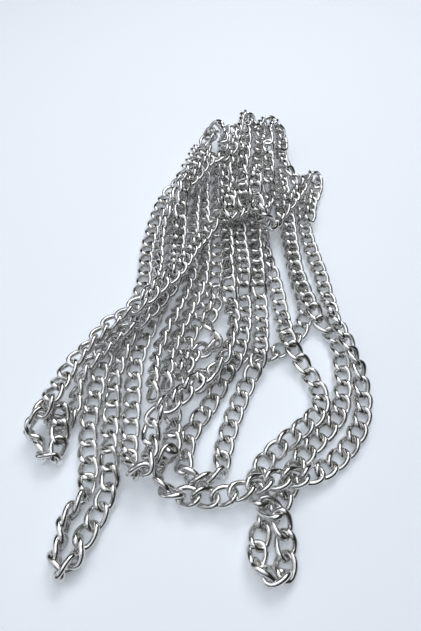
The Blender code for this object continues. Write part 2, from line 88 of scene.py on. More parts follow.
# The chains from the bottom up, each as its named runs. The points of a route are in millimetres,
# with the lay where it isn't flat. Each is where the line of sight to the run meets the floor, and
# Drop.settle brings it to the run's height.
CHAINS = (
    (
        ("under_run_left", (
            (17, 193), (16, 207), (15, 230), (13, 260), (11, 290), (10, 318), (11, 343),
            (13, 360))),
        ("back_hump_middle", (
            (15, 371, Lay.EDGE), (19, 377, Lay.EDGE), (23, 371, Lay.EDGE))),
        ("under_run_right", (
            (23, 358), (22, 340), (21, 318), (22, 290), (25, 260), (28, 230), (30, 207),
            (30, 193))),
    ),
    (
        ("right_upper_run", (
            (39, 342), (44, 328), (47, 310), (50, 290), (52, 270), (54, 250), (55, 230),
            (55.5, 212), (56.5, 195), (58.5, 180), (59, 168))),
        ("cross_run", (
            (56, 158), (50, 149), (43, 142), (35, 138), (26, 137), (17, 136), (9, 132), (1, 126),
            (-6, 119), (-13, 113))),
    ),
    (
        ("right_inner_run", (
            (57, 318), (57.5, 300), (58, 280), (57.5, 260), (57, 240), (57, 215), (58, 200),
            (60.5, 187), (63, 176), (66, 166), (70, 158), (74, 150), (76, 141), (75.7, 132),
            (74.5, 123), (73, 114), (70.5, 104), (66, 97), (59.5, 90.5), (53, 84), (46, 77.5),
            (40.5, 70))),
        ("right_tail", (
            (38, 62), (33.5, 55), (28, 50), (23.5, 45), (21.5, 38), (20, 30, Lay.LEANING),
            (24, 24.5, Lay.EDGE), (29, 21, Lay.LEANING), (33, 27), (34.3, 35), (34.5, 43))),
        ("centre_right_run", (
            (33.5, 50), (27, 54), (21.5, 59.5), (22.5, 68), (27.5, 75.5), (33.5, 81.5), (40.5, 87),
            (47.5, 92.5), (54, 98), (59.5, 104), (60.8, 112), (57.5, 121), (54, 129.5), (50.5, 138),
            (47, 147), (45, 156), (44, 166), (43.5, 176), (42.5, 188), (41, 202), (39, 216),
            (37.5, 230), (37.5, 255), (38, 280))),
    ),
    (
        ("back_hump_right", (
            (35, 350), (36.5, 366), (37, 379, Lay.EDGE), (34, 387, Lay.EDGE), (29, 386, Lay.EDGE),
            (26.5, 374, Lay.EDGE))),
        ("centre_run_right", (
            (26, 357), (26, 335), (28, 303), (31, 275), (32, 255), (32, 235), (31.5, 215),
            (31.8, 195), (31.5, 178), (31, 163), (30, 150), (29, 140), (27, 132), (22.5, 123),
            (18, 114), (14, 104), (10.5, 95), (8, 86.5))),
        ("front_fold_centre", (
            (6, 78.5), (6.5, 71.5, Lay.EDGE), (0.5, 67.5, Lay.EDGE), (-6, 65.5, Lay.EDGE),
            (-12.5, 69, Lay.LEANING))),
        ("centre_run_middle", (
            (-13.5, 77), (-12, 86.5), (-8, 95), (-3, 102), (1, 109), (5, 117), (9, 125), (14, 134),
            (17, 143), (19.5, 154), (21, 168), (21, 182), (22, 197), (22.5, 212), (21, 230),
            (21, 250), (21, 270))),
    ),
    (
        ("centre_left_run", (
            (6, 330), (5, 305), (4, 282), (4, 262), (4.5, 245), (4.5, 225), (4, 205), (2.5, 190),
            (-1, 178), (-6, 166), (-11, 155), (-15, 143), (-18, 130), (-19.5, 118), (-20.3, 106),
            (-20.5, 95), (-20, 86), (-20.5, 78, Lay.EDGE))),
        ("front_band", (
            (-25.5, 75, Lay.EDGE), (-26, 67, Lay.LEANING), (-21, 61, Lay.EDGE), (-13, 58.5),
            (-4, 57), (5, 58), (14, 61), (23, 65), (33, 67), (42, 68), (51, 69), (60, 73.5),
            (68, 80), (75, 88))),
        ("right_outer_run", (
            (80, 97), (83, 106.5), (84.3, 116), (85, 125), (84.5, 134), (82.5, 143), (80, 152),
            (77.5, 161), (75.2, 170), (74, 180), (73.3, 195), (71.5, 208), (69.5, 222), (68, 240),
            (68, 258), (68, 275), (68, 290), (66.5, 303), (62.5, 317))),
        ("back_hump_outer", (
            (58.5, 330), (58, 346), (58, 362, Lay.EDGE), (57.5, 377, Lay.EDGE), (53, 388, Lay.EDGE),
            (47.5, 384, Lay.EDGE), (45, 368), (44, 350), (42, 328), (41, 308))),
    ),
    (
        ("left_fan_sixth", (
            (-1, 322), (-3, 302), (-5, 282), (-4.5, 262), (-4, 240), (-4, 215), (-5, 198),
            (-8.5, 184), (-13, 170), (-18, 157), (-22, 145), (-24.5, 133), (-25, 122), (-24, 113))),
    ),
    (
        ("fan_fold", (
            (5, 192), (4.5, 180), (1.5, 170), (-3, 161), (1, 154, Lay.EDGE), (5, 148, Lay.EDGE),
            (0.5, 142, Lay.EDGE), (-6.5, 142), (-12, 137), (-15, 128), (-15, 119))),
    ),
    (
        ("left_fan_fifth", (
            (-9, 305), (-11, 282), (-12, 260), (-12, 238), (-12, 215), (-13, 198), (-16.5, 184),
            (-21, 170), (-26, 157), (-30, 145), (-32, 133), (-32.3, 122), (-31.7, 112),
            (-31, 105))),
    ),
    (
        ("left_fan_fourth", (
            (-13, 318), (-17, 300), (-19, 282), (-20, 262), (-20, 238), (-20, 215), (-20, 198),
            (-22, 190))),
    ),
    (
        ("left_fan_third", (
            (-19, 297), (-25, 279), (-27, 260), (-28, 238), (-28, 215), (-28, 198), (-29.5, 184),
            (-33, 170), (-37, 157), (-41, 145), (-43, 133), (-43.2, 118), (-42.4, 107), (-42, 96),
            (-42, 86))),
        ("front_fold_left", (
            (-41, 77, Lay.LEANING), (-39, 71.5, Lay.EDGE), (-35, 68.5, Lay.EDGE),
            (-31, 72.5, Lay.EDGE), (-30.5, 81))),
        ("centre_run_left", (
            (-31, 90), (-31, 99), (-26, 106), (-18, 109), (-11, 114), (-4, 121), (2, 129), (8, 137),
            (11, 146), (14, 155), (14.5, 164), (12.5, 174), (11.5, 184), (12, 197), (12.3, 212),
            (12, 230), (11.5, 255), (11, 280), (11, 300), (12, 322), (13, 345))),
    ),
    (
        ("back_hump_left", (
            (11, 345), (10, 358, Lay.EDGE), (6, 366, Lay.EDGE), (0, 361, Lay.EDGE), (-5, 350))),
        ("left_edge_run", (
            (-9, 339), (-14, 327), (-19.5, 314), (-26, 301), (-31.5, 288), (-35.5, 275),
            (-38.5, 262), (-41, 248), (-43, 232), (-44, 215), (-43.5, 198), (-45, 184), (-49, 170),
            (-54, 157), (-59, 145), (-62, 133), (-63.3, 121), (-63.7, 110), (-64, 99),
            (-63.7, 88))),
        ("left_tail_under", (
            (-61.5, 77), (-60, 68), (-60, 60, Lay.EDGE), (-64, 54, Lay.EDGE), (-68.5, 47, Lay.EDGE),
            (-68, 38, Lay.EDGE), (-70, 31, Lay.EDGE))),
        ("left_tail", (
            (-65.5, 26, Lay.EDGE), (-61, 32, Lay.EDGE), (-60.5, 40), (-56.5, 46.5), (-52, 53.5),
            (-49, 61.5))),
        ("left_inner_run", (
            (-50, 71), (-52, 81), (-53, 92), (-53, 103), (-53.5, 114), (-54, 124), (-52.5, 134),
            (-49.5, 145), (-45, 157), (-40, 170), (-37, 184), (-35.5, 198), (-35.5, 212),
            (-35.5, 230), (-34, 248), (-31, 265), (-26.5, 282), (-21, 298), (-14, 314), (-7, 329),
            (0.5, 343), (9, 355))),
    ),
    (
        ("back_top_run", (
            (33, 352), (24, 345), (16, 336), (9, 327), (1, 319), (-7, 312), (-13, 301), (-17, 287),
            (-20, 272), (-22, 258))),
        ("left_top_run", (
            (-22, 243), (-23, 228), (-23, 214), (-23, 202), (-25, 190), (-31, 178), (-39, 168),
            (-48, 159), (-57, 150), (-65, 140), (-71, 130), (-73.7, 119), (-74, 109),
            (-73.8, 101))),
        ("left_hook_under", (
            (-76.3, 94.2), (-82, 94.5), (-87.5, 99, Lay.EDGE), (-87, 107, Lay.EDGE))),
        ("left_hook", (
            (-81, 105), (-79.5, 96), (-78, 87), (-77, 79, Lay.EDGE), (-81, 75.5, Lay.EDGE),
            (-86, 79, Lay.EDGE), (-88.5, 86, Lay.EDGE), (-94, 89.5, Lay.LEANING),
            (-96, 95.5, Lay.EDGE), (-92.5, 101, Lay.LEANING))),
        ("left_diagonal_run", (
            (-89.5, 107), (-86.5, 114), (-84, 122), (-80, 131), (-75, 141), (-68, 151), (-60, 161),
            (-51, 170), (-42, 178), (-33, 187), (-26, 197), (-20, 209), (-14, 222), (-8, 233),
            (-1, 244), (5, 256), (10, 267))),
    ),
    (
        ("top_fold_left", (
            (21, 345), (20, 330), (18.5, 303), (16, 288), (14, 274), (13.5, 263),
            (17, 255, Lay.EDGE), (24, 261, Lay.EDGE), (26, 274))),
        ("top_run_middle", (
            (25, 292), (26, 312), (28, 332), (30, 352), (32, 368, Lay.EDGE), (37, 377, Lay.EDGE),
            (42, 369, Lay.EDGE), (42, 352))),
        ("top_fold_middle", (
            (40, 334), (37, 315), (35, 297), (34, 282), (34, 270), (37, 262, Lay.EDGE),
            (43, 267, Lay.EDGE), (45, 281))),
        ("top_run_right", (
            (47, 298), (49, 314), (50, 332), (50, 350), (51, 365, Lay.EDGE), (56, 373, Lay.EDGE),
            (61, 364, Lay.EDGE), (61, 348), (59, 334))),
    ),
    (
        ("right_edge_end", (
            (72, 251), (73.5, 261), (76, 271), (79.5, 281), (83, 291))),
        ("hook_run_right", (
            (86, 300, Lay.EDGE), (82, 305, Lay.EDGE), (76, 299.5, Lay.EDGE), (70, 290), (64, 279),
            (57, 268), (51, 257), (46, 248), (41, 242, Lay.EDGE), (36, 245, Lay.EDGE), (33, 255),
            (31, 266))),
    ),
)


def linear(colour: str) -> tuple[float, float, float, float]:
    """Turn a colour as it is seen on a screen into light.

    Args:
        colour: sRGB hex value, such as "#C8C4BA".

    Returns:
        Linear red, green and blue, and full alpha.
    """
    shown = [int(colour[place:place + 2], 16) / 255.0 for place in (1, 3, 5)]
    light = [value / 12.92 if value <= 0.04045 else ((value + 0.055) / 1.055) ** 2.4
             for value in shown]
    return (light[0], light[1], light[2], 1.0)


def add_node(
        tree: bpy.types.NodeTree, kind: str, values: dict[str | int, object],
        links: dict[str | int, bpy.types.NodeSocket], **settings: object) -> bpy.types.Node:
    """Add a node to a material, set it and join it up.

    Args:
        tree: the node tree that it goes into.
        kind: the type of the node.
        values: the value of each input that is set, by the input's name or number.
        links: the output that feeds each linked input, by the input's name or number.
        settings: the node's own settings.

    Returns:
        The new node.
    """
    node = tree.nodes.new(kind)
    for name, value in settings.items():
        setattr(node, name, value)
    for socket, value in values.items():
        node.inputs[socket].default_value = value
    for socket, source in links.items():
        tree.links.new(source, node.inputs[socket])
    return node


def smoothed_share(corners: int) -> float:
    """Give the share of its radius that a round of a few corners keeps when it is smoothed."""
    return (2.0 + math.cos(TURN / corners)) / 3.0


def wrapped(angle: float) -> float:
    """Bring an angle to within half a turn of nothing."""
    return (angle + math.pi) % TURN - math.pi


@dataclass(frozen=True)
class NickelPlate:
    """Bright nickel plating on drawn steel wire: a mirror that is slightly warm and not quite even.

    The eye sees a white streak along the top of each wire, and dark bands beside it where the wire
    mirrors its neighbours. Barrel polishing leaves the plating mottled and softly rippled, fine
    lines run along the drawn wire, links rub dull where they lock together, and no two links are
    quite alike.
    """

    name: str = "nickel_plated_steel"
    bright: str = "#E4E4E3"
    warm: str = "#D4D3CF"
    rubbed: str = "#BDBCB8"
    polished_roughness: float = 0.12
    mottled_roughness: float = 0.24
    rubbed_roughness: float = 0.36
    mottle_mm: float = 5.0
    mottle_range: tuple[float, float] = (0.35, 0.7)
    warmth_range: tuple[float, float] = (0.55, 1.45)
    bump_strength: float = 0.5
    ripple_mm: float = 1.6
    ripple_height_mm: float = 0.05
    draw_line_mm: float = 0.35
    draw_line_length_mm: float = 9.0
    draw_line_height_mm: float = 0.008

    def make(self) -> bpy.types.Material:
        """Make the finish.

        Returns:
            The material, which reads object coordinates, the links' UV map and two attributes.
        """
        finish = bpy.data.materials.new(self.name)
        finish.use_nodes = True
        tree = finish.node_tree
        shader = tree.nodes["Principled BSDF"]
        shader.inputs["Metallic"].default_value = 1.0
        places = add_node(tree, "ShaderNodeTexCoord", {}, {})
        tone = add_node(tree, "ShaderNodeAttribute", {}, {}, attribute_name="tone")
        rub = add_node(tree, "ShaderNodeAttribute", {}, {}, attribute_name="rub")

        mottle = add_node(
            tree, "ShaderNodeTexNoise",
            {"Scale": 1.0 / (self.mottle_mm * MM), "Detail": 3.0, "Roughness": 0.6},
            {"Vector": places.outputs["Object"]})
        warmth = add_node(
            tree, "ShaderNodeMath", {}, {0: mottle.outputs["Fac"], 1: tone.outputs["Fac"]},
            operation="ADD")
        warm_share = add_node(
            tree, "ShaderNodeMapRange",
            {"From Min": self.warmth_range[0], "From Max": self.warmth_range[1]},
            {"Value": warmth.outputs["Value"]})
        plating = add_node(
            tree, "ShaderNodeMix", {6: linear(self.bright), 7: linear(self.warm)},
            {0: warm_share.outputs["Result"]}, data_type="RGBA")
        worn = add_node(
            tree, "ShaderNodeMix", {7: linear(self.rubbed)},
            {0: rub.outputs["Fac"], 6: plating.outputs[2]}, data_type="RGBA")
        tree.links.new(worn.outputs[2], shader.inputs["Base Color"])

        roughness = add_node(
            tree, "ShaderNodeMapRange",
            {"From Min": self.mottle_range[0], "From Max": self.mottle_range[1],
             "To Min": self.polished_roughness, "To Max": self.mottled_roughness},
            {"Value": mottle.outputs["Fac"]})
        worn_roughness = add_node(
            tree, "ShaderNodeMix", {3: self.rubbed_roughness},
            {0: rub.outputs["Fac"], 2: roughness.outputs["Result"]}, data_type="FLOAT")
        tree.links.new(worn_roughness.outputs[0], shader.inputs["Roughness"])

        ripple = add_node(
            tree, "ShaderNodeTexNoise", {"Scale": 1.0 / (self.ripple_mm * MM), "Detail": 1.0},
            {"Vector": places.outputs["Object"]})
        ripple_bump = add_node(
            tree, "ShaderNodeBump",
            {"Strength": self.bump_strength, "Distance": self.ripple_height_mm * MM},
            {"Height": ripple.outputs["Fac"]})
        stretch = add_node(
            tree, "ShaderNodeMapping",
            {"Scale": (1.0 / self.draw_line_length_mm, 1.0 / self.draw_line_mm, 1.0)},
            {"Vector": places.outputs["UV"]})
        lines = add_node(
            tree, "ShaderNodeTexNoise", {"Scale": 1.0, "Detail": 2.0},
            {"Vector": stretch.outputs["Vector"]})
        line_bump = add_node(
            tree, "ShaderNodeBump",
            {"Strength": self.bump_strength, "Distance": self.draw_line_height_mm * MM},
            {"Height": lines.outputs["Fac"], "Normal": ripple_bump.outputs["Normal"]})
        tree.links.new(line_bump.outputs["Normal"], shader.inputs["Normal"])
        return finish


def ring_angles(spot: Vector) -> tuple[float, float]:
    """Give the angles of a point of a ring of radius one: round the ring, and round its wire."""
    return (math.atan2(spot.y, spot.x),
            math.atan2(spot.z, math.hypot(spot.x, spot.y) - 1.0))


@dataclass(frozen=True)
class CurbLink:
    """One link of the chain: an oval ring of round wire, twisted nearly a quarter turn.

    The cage has few steps round the ring and few corners round the wire, and the modifier of the
    runs smooths it. The fullness makes up for what that takes off the wire. The lap is the length
    of wire in the link, which the UV map is laid out by. The link starts as a ring of thin thread
    whose radius is one, and the rub sizes say what of that ring is inside and at its ends, where
    links lock together and wear. The direction step is the angle, in radians, to the points that
    give the wire's direction.
    """

    wire: float = 2.8
    width: float = 11.0
    length: float = 14.6
    twist: float = -80.0
    roundness: float = 0.85
    lap: float = 34.0
    steps: int = 16
    corners: int = 5
    fullness: float = 1.05
    thread_radius: float = 0.1
    weld_distance: float = 1e-4
    direction_step: float = 0.01
    rub_inside: float = 0.99
    rub_reach: float = 0.3

    @property
    def pitch(self) -> float:
        """Give the distance from one joint of the chain to the next."""
        return self.length - 2.0 * self.wire

    def middle_of_wire(self, angle: float) -> Vector:
        """Give a point of the wire's middle line.

        Args:
            angle: where the point is round the ring, from its end on +X, in radians.

        Returns:
            The point, with the link's length on X and its width on Y.
        """
        half_length = (self.length - self.wire) / 2.0
        half_width = (self.width - self.wire) / 2.0
        cosine, sine = math.cos(angle), math.sin(angle)
        along = half_length * math.copysign(abs(cosine) ** self.roundness, cosine)
        across = half_width * math.copysign(abs(sine) ** self.roundness, sine)
        turn = math.radians(self.twist) / 2.0 * along / half_length
        return Vector((along, across * math.cos(turn), across * math.sin(turn)))

    def outline(self) -> list[Vector]:
        """Give points of the wire's middle line all round the ring."""
        return [self.middle_of_wire(TURN * step / self.steps) for step in range(self.steps)]

    def section_place(self, angle: float) -> Matrix:
        """Give the place of the wire's section at a point of the ring.

        Args:
            angle: where the section is round the ring, in radians.

        Returns:
            The place, with Z along the wire and X outwards from the ring.
        """
        grown = 1.0 / smoothed_share(self.steps)
        centre = self.middle_of_wire(angle)
        before = self.middle_of_wire(angle - self.direction_step)
        along = (self.middle_of_wire(angle + self.direction_step) - before).normalized()
        outward = (centre - along * centre.dot(along)).normalized()
        up = along.cross(outward)
        turned = Matrix((outward, up, along)).transposed().to_4x4()
        return Matrix.Translation(centre * grown) @ turned

    def build(self) -> bpy.types.Mesh:
        """Shape the link: spin a small circle to a ring, and draw the ring out to the oval.

        Returns:
            The mesh of one link about its own middle, with its UV map in millimetres of wire.
        """
        shape = bmesh.new()
        start = Matrix.Translation((1.0, 0.0, 0.0)) @ Matrix.Rotation(TURN / 4.0, 4, "X")
        self.spin(shape, start)
        self.mark(shape)
        self.unroll(shape)
        self.draw_out(shape, start)
        bmesh.ops.recalc_face_normals(shape, faces=shape.faces[:])
        for face in shape.faces:
            face.smooth = True
        mesh = bpy.data.meshes.new("curb_link")
        shape.to_mesh(mesh)
        shape.free()
        return mesh

    def spin(self, shape: bmesh.types.BMesh, start: Matrix) -> None:
        """Spin a small circle to a ring whose radius is one.

        Args:
            shape: the empty mesh that the ring goes into.
            start: where the circle stands at the start of the ring.
        """
        circle = bmesh.ops.create_circle(
            shape, segments=self.corners, radius=self.thread_radius, matrix=start)["verts"]
        bmesh.ops.spin(
            shape, geom=circle + shape.edges[:], axis=(0.0, 0.0, 1.0), cent=(0.0, 0.0, 0.0),
            angle=TURN, steps=self.steps, use_merge=True)
        bmesh.ops.remove_doubles(shape, verts=shape.verts[:], dist=self.weld_distance)

    def mark(self, shape: bmesh.types.BMesh) -> None:
        """Mark the points of the ring that are rubbed, and make room for the tone of the plating.

        Args:
            shape: the ring before it is drawn out to a link.
        """
        rub = shape.verts.layers.float.new("rub")
        tone = shape.verts.layers.float.new("tone")
        for vert in shape.verts:
            inner = math.hypot(vert.co.x, vert.co.y) < self.rub_inside
            at_end = abs(vert.co.y) < self.rub_reach
            vert[rub] = 1.0 if inner and at_end else 0.0
            vert[tone] = 0.0

    def unroll(self, shape: bmesh.types.BMesh) -> None:
        """Lay out the skin of the wire as a UV map, with its seam between two faces.

        Args:
            shape: the ring before it is drawn out to a link.
        """
        around = math.pi * self.wire
        uv = shape.loops.layers.uv.new("wire")
        for face in shape.faces:
            lap, roll = ring_angles(face.calc_center_median())
            for loop in face.loops:
                spot_lap, spot_roll = ring_angles(loop.vert.co)
                loop[uv].uv = ((lap + wrapped(spot_lap - lap)) / TURN * self.lap,
                               (roll + wrapped(spot_roll - roll)) / TURN * around)

    def draw_out(self, shape: bmesh.types.BMesh, start: Matrix) -> None:
        """Draw the ring out to the twisted oval of the link, section by section.

        Args:
            shape: the ring, with its radius of one.
            start: where the ring's first section stands.
        """
        radius = self.fullness * self.wire / 2.0 / smoothed_share(self.corners)
        grow = Matrix.Scale(radius / self.thread_radius, 4)
        step = TURN / self.steps
        sections: dict[int, list[bmesh.types.BMVert]] = {}
        for vert in shape.verts:
            number = round(math.atan2(vert.co.y, vert.co.x) / step) % self.steps
            sections.setdefault(number, []).append(vert)
        for number, verts in sections.items():
            angle = number * step
            flat = Matrix.Rotation(angle, 4, "Z") @ start
            place = self.section_place(angle) @ grow @ flat.inverted()
            bmesh.ops.transform(shape, matrix=place, verts=verts)


LINK = CurbLink()


@dataclass(frozen=True)
class Envelope:
    """The section that a run's links sweep, as an eight-sided outline."""

    half_width: float = 5.3
    half_thickness: float = 2.8
    corner_angle: float = math.radians(51.0)
    corner_reach: float = 4.1

    def sides(self) -> np.ndarray:
        """Give the direction and the distance of each side, from the middle of the section."""
        corner = self.corner_angle
        quarter = ((0.0, self.half_width), (corner, self.corner_reach),
                   (math.pi / 2.0, self.half_thickness), (math.pi - corner, self.corner_reach))
        half = quarter + tuple((angle + math.pi, reach) for angle, reach in quarter)
        return np.array(half)

    def under_and_over(
            self, roll: np.ndarray, offsets: np.ndarray) -> tuple[np.ndarray, np.ndarray]:
        """Give the heights of the underside and the top at each offset, for each roll.

        Args:
            roll: turn of each section about the run, in radians.
            offsets: distances sideways from the middle of the section.

        Returns:
            Two arrays, one row for each roll; where the section ends, over is below under.
        """
        angle, reach = self.sides().T
        across = np.cos(angle + roll[:, None])[:, None, :]
        upward = np.sin(angle + roll[:, None])[:, None, :]
        steep = np.where(np.abs(upward) < NEARLY_LEVEL, NEARLY_LEVEL, upward)
        height = (reach - across * offsets[None, :, None]) / steep
        over = np.where(steep > 0.0, height, np.inf).min(axis=2)
        under = np.where(steep < 0.0, height, -np.inf).max(axis=2)
        return under, over


ENVELOPE = Envelope()


def sideways(path: np.ndarray) -> np.ndarray:
    """Give the level unit vector to the right of travel at each point of a path."""
    along = np.gradient(path[:, :2], axis=0)
    along /= np.maximum(np.linalg.norm(along, axis=1), TINY)[:, None]
    return np.stack([along[:, 1], -along[:, 0]], axis=1)


def smooth(values: np.ndarray, spread: float, step: float) -> np.ndarray:
    """Even out values along a path.

    Args:
        values: one value for each point of the path.
        spread: width of the bell that they are evened out with, in millimetres.
        step: distance between the points.

    Returns:
        The values evened out.
    """
    reach = int(3.0 * spread / step)
    bell = np.exp(-0.5 * (np.arange(-reach, reach + 1) * step / spread) ** 2)
    padded = np.pad(values, reach, mode="edge")
    return np.convolve(padded, bell / bell.sum(), mode="valid")


def on_line(
        first: np.ndarray, last: np.ndarray, start: float, end: float,
        when: np.ndarray) -> np.ndarray:
    """Read a line that goes from its first point to its last one between two times."""
    return first + (last - first) * (when - start) / (end - start)


def at_places(values: np.ndarray, places: np.ndarray) -> np.ndarray:
    """Read values along a path at places between its points."""
    index = np.arange(len(values))
    if values.ndim == 1:
        return np.interp(places, index, values)
    return np.stack([np.interp(places, index, column) for column in values.T], axis=1)


class Bed:
    """The floor and all that lies on it so far, as heights on a square grid.

    A run is pressed into the grid at points that are a press apart, out to its reach on each side.
    """

    corner: tuple[float, float] = (-125.0, -15.0)
    size: tuple[float, float] = (240.0, 420.0)
    cell: float = 0.5
    press: float = 0.35
    reach: float = 6.0

    def __init__(self, step: float) -> None:
        """Start with a bare floor, for paths with their points that far apart."""
        self.step = step
        self.height = np.zeros([int(size / self.cell) for size in self.size])

    def spot(self, x: np.ndarray, y: np.ndarray) -> tuple[np.ndarray, np.ndarray]:
        """Give the grid places of plan points."""
        column = (x - self.corner[0]) / self.cell
        row = (y - self.corner[1]) / self.cell
        return column.astype(int), row.astype(int)

    def across(self, path: np.ndarray, offsets: np.ndarray) -> np.ndarray:
        """Give the heights at each offset to the side of each point of a path."""
        side = sideways(path)
        x = path[:, :1] + side[:, :1] * offsets
        y = path[:, 1:2] + side[:, 1:2] * offsets
        return self.height[self.spot(x, y)]

    def add(self, path: np.ndarray, roll: np.ndarray) -> None:
        """Raise the grid to the top of a run that has come to rest.

        Args:
            path: the middle of the run, in space.
            roll: its turn about itself at each point, in radians.
        """
        fine = np.arange(0.0, len(path) - 1.0, self.press / self.step)
        dense = at_places(path, fine)
        offsets = np.arange(-self.reach, self.reach, self.press)
        under, over = ENVELOPE.under_and_over(at_places(roll, fine), offsets)
        side = sideways(dense)
        x = dense[:, :1] + side[:, :1] * offsets
        y = dense[:, 1:2] + side[:, 1:2] * offsets
        top = np.where(over > under, dense[:, 2:] + over, 0.0)
        np.maximum.at(self.height, self.spot(x, y), top)


class Play:
    """The slack of the joints, which lets each link sit a little out of line with its chain."""

    def __init__(self, roll: float, swing: float, seed: int) -> None:
        """Set how far links turn, in degrees, and start the draws."""
        self.roll = roll
        self.swing = swing
        self.draws = np.random.default_rng(seed)

    def next_turn(self) -> Matrix:
        """Draw the turn of the next link."""
        roll, swing, dip = self.draws.uniform(-1.0, 1.0, 3)
        turn = (roll * self.roll, dip * self.swing, swing * self.swing)
        return Euler([math.radians(value) for value in turn]).to_matrix()

    def next_tone(self) -> float:
        """Draw how warm the plating of the next link is, from 0 to 1."""
        return float(self.draws.uniform(0.0, 1.0))


@dataclass(frozen=True)
class Room:
    """The box of the solids, which no link leaves.

    A little is spared on each side, because the wire isn't quite round and is wider at its corners.
    """

    low: Vector
    high: Vector
    spare: float = 0.12

    def nudge(self, place: Matrix) -> Vector:
        """Give the move that brings a link inside the box.

        Args:
            place: where the link is, in millimetres.

        Returns:
            The move, which is nothing for nearly every link.
        """
        points = [place @ point for point in LINK.outline()]
        reach = LINK.wire / 2.0 + self.spare
        move = Vector()
        for axis in range(3):
            lowest = min(point[axis] for point in points) - reach
            highest = max(point[axis] for point in points) + reach
            move[axis] = max(self.low[axis] - lowest, 0.0) - max(highest - self.high[axis], 0.0)
        return move


@dataclass
class Run:
    """One run of links between two folds of the chain.

    It has all the joints of its chain, and its own links lie from the first joint to the last.
    """

    name: str
    joints: list[Vector]
    rolls: np.ndarray
    first: int
    last: int

    @property
    def count(self) -> int:
        """Give the number of links."""
        return self.last - self.first

    def link_places(self, origin: Vector, play: Play, room: Room) -> list[Matrix]:
        """Give the place of each link, from one joint to the next.

        Args:
            origin: the heap's middle on the plan of the routes.
            play: how far the links sit out of line.
            room: the box that they stay in.

        Returns:
            One place for each link, in metres.
        """
        places = []
        for index in range(self.first, self.last):
            here, ahead = self.joints[index], self.joints[index + 1]
            roll = (self.rolls[index] + self.rolls[index + 1]) / 2.0
            along = (ahead - here).normalized()
            left = Vector((-along.y, along.x, 0.0)).normalized()
            up = along.cross(left)
            turned = Matrix((along, left, up)).transposed()
            turned = turned @ Matrix.Rotation(-roll, 3, "X") @ play.next_turn()
            middle = (here + ahead) / 2.0 - origin
            place = Matrix.Translation(middle) @ turned.to_4x4()
            place = Matrix.Translation(room.nudge(place)) @ place
            places.append(Matrix.Scale(MM, 4) @ place)
        return places


